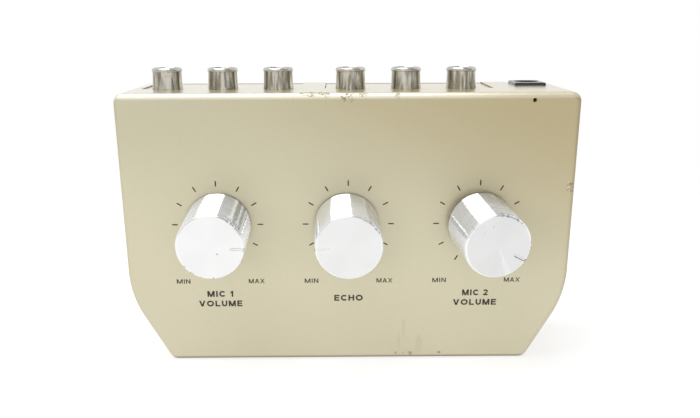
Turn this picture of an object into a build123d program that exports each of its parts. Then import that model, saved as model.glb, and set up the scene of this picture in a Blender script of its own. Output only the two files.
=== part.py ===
"""Karaoke microphone mixer: a small wedge-shaped plastic box with three rotary controls.

It stands on its lower face with the control panel towards -Y and the sockets on top.
X is to the right, Y to the back, Z up. The origin is at the middle of the foot of the bounding box.
All sizes are in millimetres. A depth is measured back from the upper front edge of the case.
"""

from build123d import *
from math import atan2, cos, radians, sin, tan
import os

os.makedirs("parts", exist_ok=True)

# ---- Driving dimensions: the case ----
case_width = 122.4
case_height = 76.7
case_depth = 42.0  # at the top, the thick end of the wedge
panel_lean = 6.87  # degrees that the control panel overhangs towards its top
foot_width = 101.0  # between the lower corners, before they are rounded
slant_height = 19.55  # height of the corner where a side wall turns into its slant
top_corner = 2.5
side_corner = 29.0
foot_corner = 2.75
panel_edge = 1.75  # rounding between the control panel and the walls
wall = 1.8
panel_skin = 2.2
cover_plate = 2.5
cover_step = 0.35  # the cover's edge stands back from the walls by this much
cover_edge = 0.8
lip_wall = 1.5
lip_depth = 2.0
seam = 0.15  # gap along every joint line between the two halves of the case
join = 0.25  # how far a boss runs into the wall that it stands on

# ---- Driving dimensions: the controls ----
control_inset = 25.64  # from the side of the case to the axis of the outer control
control_height = 40.9  # of the control axes where they leave the panel
pointer_angles = (-3.0, 180.0, -30.0)  # where each knob points at rest, 0 is to the right
knob_radius = 8.75
knob_reach = 18.1  # from the panel to the face of the knob
knob_gap = 0.9  # from the panel to the foot of the knob
knob_chamfer = 0.45
skin_side = 0.9
skin_face = 1.2
pointer_length = 3.3
pointer_width = 0.5
pointer_depth = 0.25
shaft_radius = 3.0
shaft_flat = 1.5  # from the axis to the flat
shaft_end = 15.0
bush_radius = 3.45
bush_end = 5.0
washer_radius = 5.5
washer_thickness = 0.5
nut_across_flats = 10.0
nut_thickness = 2.0
recess_radius = 6.6  # hollow under the knob, around the nut
recess_end = 5.8
pot_radius = 8.2
pot_depth = 8.8
pot_wall = 1.2
rotor_radius = 6.6
rotor_thickness = 1.5

# ---- Driving dimensions: the sockets ----
window_inset = 4.2  # from the side of the case to the left window
window_bridge = 6.6  # width of the top wall between the two windows
power_bridge = 7.3  # width of the top wall between the right window and the power socket's
left_ends = (7.45, 6.17)  # from the two ends of the left window to the nearest phono axes
right_ends = (7.15, 9.17)
phono_depth = 15.7
phono_above_board = 6.3
phono_radius = 4.15
phono_root_radius = 3.85
phono_bore_radius = 3.4
phono_reach = 5.8  # above the top face
phono_rim = 0.6
insert_recess = 0.7
pin_hole_radius = 1.65
contact_radius = 2.35
contact_bore = 1.85
contact_height = 7.5
tail_radius = 0.5
block_margin = 5.0  # from the last phono axis to the end of its block
block_front = 4.7
block_drop = 12.0
pocket_drop = 10.0
notch_gap = 0.15
power_inset = 8.8  # from the side of the case to the axis of the power socket
power_width = 9.0
power_depth = 11.0
power_height = 14.2
power_above_board = 6.5
power_proud = 0.8
power_hole_radius = 3.15
power_hole_depth = 9.5
power_pin_radius = 1.0
power_pin_below = 0.5
power_pin_round = 0.6
power_root_radius = 0.7
power_root = 1.2  # how far the pin's root goes into the floor of the socket
mic_inset = 25.5  # from the foot corner to the axis of a microphone socket
mic_width = 14.0
mic_height = 27.0
mic_off_middle = 0.2  # the bore is this much behind the middle of its socket
mic_behind = 0.5  # clear depth between a microphone socket and the lip of the cover
mic_bore_radius = 3.25
mic_nose_radius = 4.7
mic_nose_inset = 0.1
mic_end_wall = 2.0

# ---- Driving dimensions: boards, fastenings, feet ----
board = 1.6
board_edge_gap = 1.5
boss_radius = 3.2
boss_below_socket = 4.1  # clear height between an upper boss and the power socket
low_boss_height = 11.0
boss_below_seam = 2.5
screw_radius = 1.4
screw_length = 12.0
screw_head_radius = 2.6
screw_head = 1.8
screw_sink = 2.6
head_round = 0.45
slot_length = 3.0
slot_width = 0.5
slot_depth = 0.7
post_radius = 2.6
post_inset = 12.7  # from the side of the case to an upper post
post_beside_mic = 6.0  # from the side of a microphone socket to a lower post
low_post_height = 14.0
board_screw_radius = 1.1
board_screw_length = 6.0
board_head_radius = 2.3
board_head = 1.4
control_board_margin = 8.44  # from the axis of the outer control to the end of its board
control_board_height = 24.0
foot_radius = 4.5
foot_height = 1.5
foot_round = 0.5
foot_inset = (17.2, 11.7)  # of an upper foot, from the side and the top of the case
low_foot_inset = (12.5, 12.0)  # of a lower foot, from the foot corner and the lower face
lamp_inset = 12.5  # from the side of the case
lamp_below_top = 2.06  # down the panel from its upper edge
lamp_hole_radius = 0.55
lamp_radius = 1.5
lamp_length = 5.0
lamp_dome = 1.2
lead_fall = 4.0
lead = 0.6
lead_pitch = 2.54
cable_width = 20.0
cable_thickness = 0.9
cable_up = -9.0  # up the panel from the control axes
cable_fall = 6.0
leaf_thickness = 0.5
leaf_width = 3.0
leaf_slot = 0.8
leaf_foot = 8.0
chip_width = 6.4
chip_height = 3.3
chip_lift = 0.5
chip_leg_height = 2.15
echo_chip_place = (-8.0, 50.0)
echo_chip_length = 19.8
preamp_chip_place = (-8.0, 36.0)
preamp_chip_length = 9.8
regulator_inset = 17.7  # from the side of the case
regulator_height = 44.0
regulator_radius = 3.4
regulator_flat = 2.2  # from the axis to the flat side
regulator_lift = 3.0
regulator_body = 4.8
capacitor_places = ((14.0, 52.0), (23.0, 52.0), (32.0, 52.0), (14.0, 42.0), (23.0, 42.0))
capacitor_radius = 3.15
capacitor_height = 11.0

# ---- Clearances ----
press_gap = 0.03  # pieces that are pressed or bonded together
slip_gap = 0.1  # pieces that are slid in and then held
running_gap = 0.05  # a turning shaft in its bush
free_gap = 0.3

# ---- Worked out from the above ----
lean = radians(panel_lean)
control_depth = (case_height - control_height) * tan(lean)
face_radius = knob_radius - knob_chamfer
nearest = control_depth - knob_reach * cos(lean) - face_radius * sin(lean)
farthest = case_depth + foot_height
front_edge_y = -(nearest + farthest) / 2
seam_depth = case_depth - cover_plate
half_width = case_width / 2
half_foot = foot_width / 2
control_pitch = half_width - control_inset
power_x = half_width - power_inset
lamp_x = half_width - lamp_inset
lamp_up = (case_height - control_height) / cos(lean) - lamp_below_top  # from the control axes
window_ends = sum(left_ends) + sum(right_ends)
row_gaps = window_inset + window_bridge + power_bridge + power_inset + power_width / 2 + slip_gap
phono_pitch = (case_width - window_ends - row_gaps) / 4  # four steps between six sockets
left_start = -half_width + window_inset
window_left = (left_start, left_start + sum(left_ends) + 2 * phono_pitch)
right_start = window_left[1] + window_bridge
window_right = (right_start, right_start + sum(right_ends) + 2 * phono_pitch)
phono_left = window_left[0] + left_ends[0] + phono_pitch  # middle of the left group
phono_right = window_right[0] + right_ends[0] + phono_pitch  # middle of the right group
tongue_top = case_height - cover_step
tongue_foot = case_height - wall - seam
board_front = phono_depth + phono_above_board
flat_start = recess_end - free_gap
cover_boss_radius = boss_radius - join - seam
board_rear = board_front + board
boss_end = seam_depth - boss_below_seam
boss_height = case_height + power_proud - power_height - boss_below_socket - boss_radius
post_x = half_width - post_inset
mic_x = half_foot - mic_inset
low_post_x = mic_x + mic_width / 2 + post_beside_mic
power_axis_depth = board_rear + power_above_board
mic_depth = seam_depth - lip_depth - mic_behind - board_rear
mic_axis_depth = board_rear + mic_depth / 2 + mic_off_middle
tongue_thickness = tongue_top - tongue_foot
pot_rear = panel_skin + pot_depth
notch_radius = phono_radius + notch_gap
phono_xs = [
    middle + step * phono_pitch for middle in (phono_left, phono_right) for step in (-1, 0, 1)
]
control_xs = (-control_pitch, 0, control_pitch)
mic_xs = (-mic_x, mic_x)
post_places = (
    (-post_x, boss_height),
    (post_x, boss_height),
    (-low_post_x, low_post_height),
    (low_post_x, low_post_height),
)
foot_x, foot_z = half_width - foot_inset[0], case_height - foot_inset[1]
low_foot_x, low_foot_z = half_foot - low_foot_inset[0], low_foot_inset[1]
foot_places = (
    (-foot_x, foot_z),
    (foot_x, foot_z),
    (-low_foot_x, low_foot_z),
    (low_foot_x, low_foot_z),
)
regulator_place = (half_width - regulator_inset, regulator_height)


def y_at(depth):
    """The Y of a depth behind the upper front edge."""
    return front_edge_y + depth


def across(depth):
    """The upright plane at a depth, seen from the front: its x is X, its y is Z, its normal -Y."""
    return Plane.XZ.offset(-y_at(depth))


def seat_on_top(x, depth, z):
    """A level plane with its origin at a point, facing up."""
    return Plane(origin=(x, y_at(depth), z), x_dir=(1, 0, 0), z_dir=(0, 0, 1))


panel = Plane(
    origin=(0, y_at(control_depth), control_height),
    x_dir=(1, 0, 0),
    z_dir=(0, -cos(lean), -sin(lean)),
)


def outline(inset):
    """The case seen from the front: rounded corners above, corners cut at a slant below."""
    with BuildSketch() as face:
        with BuildLine():
            Polyline(
                (-half_width, case_height),
                (half_width, case_height),
                (half_width, slant_height),
                (half_foot, 0),
                (-half_foot, 0),
                (-half_width, slant_height),
                close=True,
            )
        make_face()
        fillet(face.vertices().group_by(Axis.Y)[1], side_corner)
        fillet(face.vertices().group_by(Axis.Y)[-1], top_corner)
        fillet(face.vertices().group_by(Axis.Y)[0], foot_corner)
        if inset:
            offset(amount=-inset)
    return face.sketch


def wedge(inset, skin, rear):
    """The case's outline from a rear depth forward to a skin's thickness behind the panel."""
    profile = outline(inset)
    with BuildPart() as block:
        with BuildSketch(across(rear)):
            add(profile)
        extrude(amount=rear + case_depth)
        split(bisect_by=panel.offset(-skin), keep=Keep.BOTTOM)
    return block.part


def bar(x_range, depth_range, z_range):
    """A square block between two values of x, two depths and two heights."""
    x_low, x_high = sorted(x_range)
    depth_low, depth_high = sorted(depth_range)
    z_low, z_high = sorted(z_range)
    corner = (Align.MIN, Align.MIN, Align.MIN)
    with BuildPart() as block:
        with Locations((x_low, y_at(depth_low), z_low)):
            Box(x_high - x_low, depth_high - depth_low, z_high - z_low, align=corner)
    return block.part


def rods(places, radius, rear, length):
    """Round rods that run forward from a rear depth, at places seen from the front."""
    with BuildPart() as group:
        with BuildSketch(across(rear)):
            with Locations(*places):
                Circle(radius)
        extrude(amount=length)
    return group.part


def pillars(places, radius, rear):
    """Round pillars that run forward from a rear depth into the skin of the panel."""
    with BuildPart() as group:
        add(rods(places, radius, rear, rear))
        split(bisect_by=panel.offset(-panel_skin / 2), keep=Keep.BOTTOM)
    return group.part


def turned(seat, *profile):
    """A turned piece: a closed profile of (radius, height) points spun about the seat's normal."""
    side = Plane(seat.origin, x_dir=seat.x_dir, z_dir=seat.x_dir.cross(seat.z_dir))
    with BuildPart() as piece:
        with BuildSketch(side):
            with BuildLine():
                Polyline(*profile, close=True)
            make_face()
        revolve(axis=Axis(seat.origin, seat.z_dir))
    return piece.part


def boss_places():
    """Where the case screws go: beside the side walls above, beside the slants below."""
    inset = wall + boss_radius - join
    slope = atan2(slant_height, half_width - half_foot)
    on_slant = half_foot + low_boss_height / tan(slope)
    low_x = on_slant - inset / sin(slope)
    high_x = half_width - inset
    return (
        (-high_x, boss_height),
        (high_x, boss_height),
        (-low_x, low_boss_height),
        (low_x, low_boss_height),
    )


boss_points = boss_places()

# ---- Front shell: control panel and four walls, with bosses for the cover and the board ----
tongue_windows = (window_left, window_right)
power_window = (
    power_x - power_width / 2 - slip_gap,
    power_x + power_width / 2 + slip_gap,
)

with BuildPart() as front_shell:
    add(wedge(0, 0, seam_depth))
    panel_face = front_shell.faces().sort_by(Axis(panel.origin, panel.z_dir))[-1]
    fillet(panel_face.edges(), panel_edge)
    add(wedge(wall, panel_skin, seam_depth + wall), mode=Mode.SUBTRACT)
    add(pillars(boss_points, boss_radius, boss_end))
    add(pillars(post_places, post_radius, board_front))
    # Screw holes
    add(rods(boss_points, screw_radius + press_gap, boss_end, screw_length), mode=Mode.SUBTRACT)
    add(
        rods(post_places, board_screw_radius + press_gap, board_front, board_screw_length),
        mode=Mode.SUBTRACT,
    )
    # Windows in the top wall, open to the rear, with a half-round notch for each phono socket
    for window in tongue_windows:
        add(
            bar(window, (phono_depth, seam_depth), (tongue_foot - wall, case_height)),
            mode=Mode.SUBTRACT,
        )
    add(
        bar(power_window, (board_rear - slip_gap, seam_depth), (tongue_foot - wall, case_height)),
        mode=Mode.SUBTRACT,
    )
    with BuildSketch(seat_on_top(0, phono_depth, case_height)):
        with Locations(*[(x, 0) for x in phono_xs]):
            Circle(notch_radius)
    extrude(amount=-2 * wall, mode=Mode.SUBTRACT)
    # Microphone sockets in the lower wall
    with BuildSketch(seat_on_top(0, mic_axis_depth, 0)):
        with Locations(*[(x, 0) for x in mic_xs]):
            Circle(mic_nose_radius + slip_gap)
    extrude(amount=wall, mode=Mode.SUBTRACT)
    # Control bushes and the lamp's pin hole in the panel
    with BuildSketch(panel):
        with Locations(*[(x, 0) for x in control_xs]):
            Circle(bush_radius + slip_gap)
        with Locations((lamp_x, lamp_up)):
            Circle(lamp_hole_radius)
    extrude(amount=-panel_skin, mode=Mode.SUBTRACT)
front_shell.part.label = "front_shell"
export_step(front_shell.part, "parts/front_shell.step")

# ---- Back cover: a plate with a lip, screw bosses and the tongues that close the windows ----
plate_outline = outline(cover_step)
lip_outline = outline(wall + seam)
lip_hollow = outline(wall + seam + lip_wall)

with BuildPart() as back_cover:
    with BuildSketch(across(seam_depth)):
        add(plate_outline)
    extrude(amount=-cover_plate)
    rear_face = back_cover.faces().sort_by(Axis.Y)[-1]
    fillet(rear_face.edges(), cover_edge)
    with BuildSketch(across(seam_depth)):
        add(lip_outline)
        add(lip_hollow, mode=Mode.SUBTRACT)
    extrude(amount=lip_depth)
    add(rods(boss_points, cover_boss_radius, seam_depth, seam_depth - boss_end))
    for window in tongue_windows:
        tongue = (window[0] + seam, window[1] - seam)
        add(bar(tongue, (phono_depth + seam, seam_depth), (tongue_foot, tongue_top)))
    power_tongue = (power_window[0] + seam, power_window[1] - seam)
    power_tongue_front = board_rear + power_depth + slip_gap
    add(bar(power_tongue, (power_tongue_front, seam_depth), (tongue_foot, tongue_top)))
    with BuildSketch(seat_on_top(0, phono_depth, tongue_top)):
        with Locations(*[(x, 0) for x in phono_xs]):
            Circle(notch_radius)
    extrude(amount=-tongue_thickness, mode=Mode.SUBTRACT)
    # Screw holes and the sinks for their heads
    hole_length = case_depth - boss_end
    add(rods(boss_points, screw_radius + slip_gap, case_depth, hole_length), mode=Mode.SUBTRACT)
    add(
        rods(boss_points, screw_head_radius + free_gap, case_depth, screw_sink),
        mode=Mode.SUBTRACT,
    )
back_cover.part.label = "back_cover"
export_step(back_cover.part, "parts/back_cover.step")

# ---- Rubber feet on the cover, for use lying down ----
with BuildPart() as rubber_feet:
    add(rods(foot_places, foot_radius, farthest, foot_height))
    foot_rims = rubber_feet.faces().group_by(Axis.Y)[-1].edges()
    fillet(foot_rims, foot_round)
rubber_feet.part.label = "rubber_feet"
export_step(rubber_feet.part, "parts/rubber_feet.step")


def screws(places, seat_depth, radius, length, head_radius, head):
    """Pan-head screws whose heads bear on a depth, with a cross cut in each head."""
    with BuildPart() as group:
        add(rods(places, head_radius, seat_depth + head, head))
        fillet(group.faces().group_by(Axis.Y)[-1].edges(), head_round)
        add(rods(places, radius, seat_depth, length))
        with BuildSketch(across(seat_depth + head)):
            with Locations(*places):
                Rectangle(slot_length, slot_width)
                Rectangle(slot_width, slot_length)
        extrude(amount=slot_depth, mode=Mode.SUBTRACT)
    return group.part


# ---- Case screws, from the back into the bosses of the front shell ----
with BuildPart() as case_screws:
    reach = case_depth - screw_sink - boss_end + screw_length - free_gap
    add(
        screws(
            boss_points,
            case_depth - screw_sink,
            screw_radius,
            reach,
            screw_head_radius,
            screw_head,
        )
    )
case_screws.part.label = "case_screws"
export_step(case_screws.part, "parts/case_screws.step")

# ---- Main board: follows the case, notched around the bosses ----
board_outline = outline(wall + board_edge_gap)
boss_notch = boss_radius + slip_gap + free_gap

with BuildPart() as main_board:
    with BuildSketch(across(board_rear)):
        add(board_outline)
        with Locations(*boss_points):
            Circle(boss_notch, mode=Mode.SUBTRACT)
            Rectangle(2 * boss_notch, 2 * boss_notch, mode=Mode.SUBTRACT)
        with Locations(*post_places):
            Circle(board_screw_radius + slip_gap, mode=Mode.SUBTRACT)
    extrude(amount=board)
main_board.part.label = "main_board"
export_step(main_board.part, "parts/main_board.step")

with BuildPart() as board_screws:
    add(
        screws(
            post_places,
            board_rear,
            board_screw_radius,
            board + board_screw_length - free_gap,
            board_head_radius,
            board_head,
        )
    )
board_screws.part.label = "board_screws"
export_step(board_screws.part, "parts/board_screws.step")

# ---- Controls: potentiometer, washer, nut, shaft and two-piece knob, three times ----
for number, (x, angle) in enumerate(zip(control_xs, pointer_angles), 1):
    dial = Plane(origin=panel.from_local_coords((x, 0, 0)), x_dir=panel.x_dir, z_dir=panel.z_dir)
    pointer_way = panel.x_dir.rotate(Axis((0, 0, 0), panel.z_dir), angle)
    knob_seat = Plane(origin=dial.origin, x_dir=pointer_way, z_dir=panel.z_dir)
    hollow_rear = -(pot_rear - pot_wall)
    hollow_front = -(panel_skin + pot_wall)
    shaft_bore = shaft_radius + running_gap

    # The body is hollow, with a threaded bush that comes out through the panel
    with BuildPart() as pot_body:
        add(
            turned(
                dial,
                (0, -pot_rear),
                (pot_radius, -pot_rear),
                (pot_radius, -panel_skin),
                (bush_radius, -panel_skin),
                (bush_radius, bush_end),
                (shaft_bore, bush_end),
                (shaft_bore, hollow_front),
                (rotor_radius + free_gap, hollow_front),
                (rotor_radius + free_gap, hollow_rear),
                (0, hollow_rear),
            )
        )
    pot_body.part.label = f"pot_body_{number}"
    export_step(pot_body.part, f"parts/pot_body_{number}.step")

    # The shaft carries the rotor inside the body and has a flat where the knob grips it
    rotor_rear = hollow_rear + free_gap
    with BuildPart() as pot_shaft:
        add(
            turned(
                knob_seat,
                (0, rotor_rear),
                (rotor_radius, rotor_rear),
                (rotor_radius, rotor_rear + rotor_thickness),
                (shaft_radius, rotor_rear + rotor_thickness),
                (shaft_radius, shaft_end),
                (0, shaft_end),
            )
        )
        with BuildSketch(knob_seat.offset(flat_start)):
            with Locations((-shaft_radius, 0)):
                Rectangle(
                    shaft_radius - shaft_flat,
                    2 * shaft_radius,
                    align=(Align.MIN, Align.CENTER),
                )
        extrude(amount=shaft_end - flat_start, mode=Mode.SUBTRACT)
    pot_shaft.part.label = f"pot_shaft_{number}"
    export_step(pot_shaft.part, f"parts/pot_shaft_{number}.step")

    with BuildPart() as pot_washer:
        with BuildSketch(dial):
            Circle(washer_radius)
            Circle(bush_radius + slip_gap, mode=Mode.SUBTRACT)
        extrude(amount=washer_thickness)
    pot_washer.part.label = f"pot_washer_{number}"
    export_step(pot_washer.part, f"parts/pot_washer_{number}.step")

    with BuildPart() as pot_nut:
        with BuildSketch(dial.offset(washer_thickness)):
            RegularPolygon(nut_across_flats / 2, 6, major_radius=False)
            Circle(bush_radius + press_gap, mode=Mode.SUBTRACT)
        extrude(amount=nut_thickness)
    pot_nut.part.label = f"pot_nut_{number}"
    export_step(pot_nut.part, f"parts/pot_nut_{number}.step")

    # The hub fills the skin, hollow below for the nut, with a flatted bore for the shaft
    core_radius = knob_radius - skin_side - press_gap
    core_top = knob_reach - skin_face
    grip_radius = shaft_radius + press_gap
    grip_end = shaft_end + free_gap
    with BuildPart() as knob_core:
        with BuildSketch(knob_seat.offset(knob_gap + free_gap)):
            Circle(core_radius)
        extrude(amount=core_top - knob_gap - free_gap)
        with BuildSketch(knob_seat.offset(knob_gap + free_gap)):
            Circle(recess_radius)
        extrude(amount=recess_end - knob_gap - free_gap, mode=Mode.SUBTRACT)
        with BuildSketch(knob_seat.offset(recess_end)):
            Circle(grip_radius)
            with Locations((-grip_radius, 0)):
                Rectangle(
                    grip_radius - shaft_flat - press_gap,
                    2 * grip_radius,
                    align=(Align.MIN, Align.CENTER),
                    mode=Mode.SUBTRACT,
                )
        extrude(amount=grip_end - recess_end, mode=Mode.SUBTRACT)
    knob_core.part.label = f"knob_core_{number}"
    export_step(knob_core.part, f"parts/knob_core_{number}.step")

    # The skin is turned from aluminium, with a bevelled rim and a pointer cut into its face
    skin_bore = knob_radius - skin_side
    with BuildPart() as knob_cap:
        add(
            turned(
                knob_seat,
                (skin_bore, knob_gap),
                (knob_radius, knob_gap),
                (knob_radius, knob_reach - knob_chamfer),
                (face_radius, knob_reach),
                (0, knob_reach),
                (0, core_top),
                (skin_bore, core_top),
            )
        )
        with BuildSketch(knob_seat.offset(knob_reach)):
            with Locations((face_radius - pointer_length / 2, 0)):
                Rectangle(pointer_length, pointer_width)
        extrude(amount=-pointer_depth, mode=Mode.SUBTRACT)
    knob_cap.part.label = f"knob_cap_{number}"
    export_step(knob_cap.part, f"parts/knob_cap_{number}.step")

# ---- Control board, held by the three potentiometers ----
control_board_seat = panel.offset(-pot_rear)
with BuildPart() as control_board:
    with BuildSketch(control_board_seat):
        Rectangle(2 * (control_pitch + control_board_margin), control_board_height)
    extrude(amount=-board)
control_board.part.label = "control_board"
export_step(control_board.part, "parts/control_board.step")

# ---- Flat cable between the two boards ----
start = (panel.offset(-pot_rear - board)).from_local_coords((0, cable_up, 0))
start_y, start_z = start.Y, start.Z
end_y = y_at(board_front)
end_z = start_z - cable_fall
with BuildPart() as board_cable:
    with BuildSketch(Plane.YZ.offset(-cable_width / 2)):
        with BuildLine():
            Polyline(
                (start_y, start_z),
                (end_y, end_z),
                (end_y, end_z - cable_thickness),
                (
                    start_y + cable_thickness * tan(lean),
                    start_z - cable_thickness,
                ),
                close=True,
            )
        make_face()
    extrude(amount=cable_width)
board_cable.part.label = "board_cable"
export_step(board_cable.part, "parts/board_cable.step")

# ---- Phono sockets: two triple blocks, each socket with a sleeve, an insulator and a contact ----
block_top = tongue_foot - free_gap
block_foot = block_top - block_drop
pocket_floor = block_top - pocket_drop
sleeve_foot = pocket_floor
sleeve_step = case_height
sleeve_top = case_height + phono_reach
insert_top = sleeve_top - insert_recess
contact_top = pocket_floor + contact_height

for side, middle in (("left", phono_left), ("right", phono_right)):
    with BuildPart() as block:
        add(
            bar(
                (middle - phono_pitch - block_margin, middle + phono_pitch + block_margin),
                (phono_depth - block_front, board_front),
                (block_foot, block_top),
            )
        )
        chamfer(block.faces().sort_by(Axis.Y)[0].edges(), free_gap)
        with BuildSketch(seat_on_top(middle, phono_depth, block_top)):
            with GridLocations(phono_pitch, 0, 3, 1):
                Circle(phono_root_radius + press_gap)
        extrude(amount=-pocket_drop, mode=Mode.SUBTRACT)
        with BuildSketch(seat_on_top(middle, phono_depth, pocket_floor)):
            with GridLocations(phono_pitch, 0, 3, 1):
                Circle(tail_radius + press_gap)
        extrude(amount=block_foot - pocket_floor, mode=Mode.SUBTRACT)
    block.part.label = f"phono_block_{side}"
    export_step(block.part, f"parts/phono_block_{side}.step")

for number, x in enumerate(phono_xs, 1):
    seat = seat_on_top(x, phono_depth, 0)
    with BuildPart() as sleeve:
        add(
            turned(
                seat,
                (phono_bore_radius, sleeve_foot),
                (phono_root_radius, sleeve_foot),
                (phono_root_radius, sleeve_step),
                (phono_radius, sleeve_step),
                (phono_radius, sleeve_top),
                (phono_bore_radius, sleeve_top),
            )
        )
        rim = sleeve.edges().group_by(Axis.Z)[-1].sort_by(SortBy.LENGTH)[-1]
        fillet(rim, phono_rim)
    sleeve.part.label = f"phono_sleeve_{number}"
    export_step(sleeve.part, f"parts/phono_sleeve_{number}.step")

    insert_radius = phono_bore_radius - press_gap
    with BuildPart() as insert:
        add(
            turned(
                seat,
                (contact_radius + press_gap, sleeve_foot),
                (insert_radius, sleeve_foot),
                (insert_radius, insert_top),
                (pin_hole_radius, insert_top),
                (pin_hole_radius, contact_top),
                (contact_radius + press_gap, contact_top),
            )
        )
    insert.part.label = f"phono_insert_{number}"
    export_step(insert.part, f"parts/phono_insert_{number}.step")

    tail_foot = block_foot - 2 * tail_radius
    with BuildPart() as contact:
        add(
            turned(
                seat,
                (0, tail_foot),
                (tail_radius, tail_foot),
                (tail_radius, pocket_floor),
                (contact_radius, pocket_floor),
                (contact_radius, contact_top),
                (contact_bore, contact_top),
                (contact_bore, pocket_floor + tail_radius),
                (0, pocket_floor + tail_radius),
            )
        )
        add(
            bar(
                (x - tail_radius, x + tail_radius),
                (phono_depth, board_front),
                (tail_foot, block_foot - tail_radius / 2),
            )
        )
    contact.part.label = f"phono_contact_{number}"
    export_step(contact.part, f"parts/phono_contact_{number}.step")

# ---- Power socket and its centre pin ----
power_top = case_height + power_proud
power_seat = seat_on_top(power_x, power_axis_depth, power_top)
with BuildPart() as power_socket:
    add(
        bar(
            (power_x - power_width / 2, power_x + power_width / 2),
            (board_rear, board_rear + power_depth),
            (power_top - power_height, power_top),
        )
    )
    fillet(power_socket.edges().filter_by(Axis.Z), free_gap)
    with BuildSketch(power_seat):
        Circle(power_hole_radius)
    extrude(amount=-power_hole_depth, mode=Mode.SUBTRACT)
    with BuildSketch(power_seat.offset(-power_hole_depth)):
        Circle(power_root_radius + press_gap)
    extrude(amount=-power_root, mode=Mode.SUBTRACT)
power_socket.part.label = "power_socket"
export_step(power_socket.part, "parts/power_socket.step")

with BuildPart() as power_pin:
    add(
        turned(
            power_seat,
            (0, -power_hole_depth - power_root),
            (power_root_radius, -power_hole_depth - power_root),
            (power_root_radius, -power_hole_depth),
            (power_pin_radius, -power_hole_depth),
            (power_pin_radius, -power_pin_below),
            (0, -power_pin_below),
        )
    )
    fillet(power_pin.edges().sort_by(Axis.Z)[-1], power_pin_round)
power_pin.part.label = "power_pin"
export_step(power_pin.part, "parts/power_pin.step")

# ---- Microphone sockets on the rear of the main board, opening downwards ----
for number, x in enumerate(mic_xs, 1):
    outward = 1 if x > 0 else -1
    mic_foot = wall + free_gap
    mic_top = mic_foot + mic_height
    side_x = x + outward * mic_width / 2
    slot_floor = side_x - outward * leaf_slot
    leaf_depths = (mic_axis_depth - leaf_width / 2, mic_axis_depth + leaf_width / 2)
    with BuildPart() as mic_jack:
        add(
            bar(
                (x - mic_width / 2, x + mic_width / 2),
                (board_rear, board_rear + mic_depth),
                (mic_foot, mic_top),
            )
        )
        with BuildSketch(seat_on_top(x, mic_axis_depth, mic_nose_inset)):
            Circle(mic_nose_radius)
        extrude(amount=mic_foot - mic_nose_inset)
        with BuildSketch(seat_on_top(x, mic_axis_depth, mic_nose_inset)):
            Circle(mic_bore_radius)
        extrude(amount=mic_top - mic_end_wall - mic_nose_inset, mode=Mode.SUBTRACT)
        add(
            bar(
                (slot_floor, side_x),
                (leaf_depths[0] - slip_gap, leaf_depths[1] + slip_gap),
                (leaf_foot, mic_top),
            ),
            mode=Mode.SUBTRACT,
        )
    mic_jack.part.label = f"mic_jack_{number}"
    export_step(mic_jack.part, f"parts/mic_jack_{number}.step")

    # The leaf lies in the slot, folds over the top and comes down to the board as a tail
    leaf_outer = slot_floor + outward * leaf_thickness
    with BuildPart() as mic_leaf:
        add(
            bar(
                (slot_floor, leaf_outer),
                leaf_depths,
                (leaf_foot + free_gap, mic_top + leaf_thickness),
            )
        )
        add(
            bar(
                (slot_floor, leaf_outer),
                (board_rear, leaf_depths[1]),
                (mic_top, mic_top + leaf_thickness),
            )
        )
    mic_leaf.part.label = f"mic_contact_{number}"
    export_step(mic_leaf.part, f"parts/mic_contact_{number}.step")


def chip(x, z, length, legs):
    """A dual in-line chip on the rear of the main board, with legs along its two long sides."""
    with BuildPart() as piece:
        add(
            bar(
                (x - length / 2, x + length / 2),
                (board_rear + chip_lift, board_rear + chip_lift + chip_height),
                (z - chip_width / 2, z + chip_width / 2),
            )
        )
        with BuildSketch(across(board_rear)):
            with Locations((x, z)):
                with GridLocations(lead_pitch, chip_width, legs, 2):
                    Rectangle(lead, lead)
        extrude(amount=-chip_leg_height)
    return piece.part


# ---- Circuits on the rear of the main board ----
with BuildPart() as echo_chip:
    add(chip(*echo_chip_place, echo_chip_length, 8))
echo_chip.part.label = "echo_chip"
export_step(echo_chip.part, "parts/echo_chip.step")

with BuildPart() as preamp_chip:
    add(chip(*preamp_chip_place, preamp_chip_length, 4))
preamp_chip.part.label = "preamp_chip"
export_step(preamp_chip.part, "parts/preamp_chip.step")

with BuildPart() as voltage_regulator:
    with BuildSketch(across(board_rear)):
        with Locations(regulator_place):
            with GridLocations(lead_pitch, 0, 3, 1):
                Rectangle(lead, lead)
    extrude(amount=-regulator_lift)
    with BuildSketch(across(board_rear + regulator_lift)):
        with Locations(regulator_place):
            Circle(regulator_radius)
            with Locations((0, -regulator_flat)):
                Rectangle(
                    2 * regulator_radius,
                    regulator_radius,
                    align=(Align.CENTER, Align.MAX),
                    mode=Mode.SUBTRACT,
                )
    extrude(amount=-regulator_body)
voltage_regulator.part.label = "voltage_regulator"
export_step(voltage_regulator.part, "parts/voltage_regulator.step")

with BuildPart() as capacitors:
    add(rods(capacitor_places, capacitor_radius, board_rear + capacitor_height, capacitor_height))
    fillet(capacitors.faces().group_by(Axis.Y)[-1].edges(), free_gap)
capacitors.part.label = "capacitors"
export_step(capacitors.part, "parts/capacitors.step")

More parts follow.
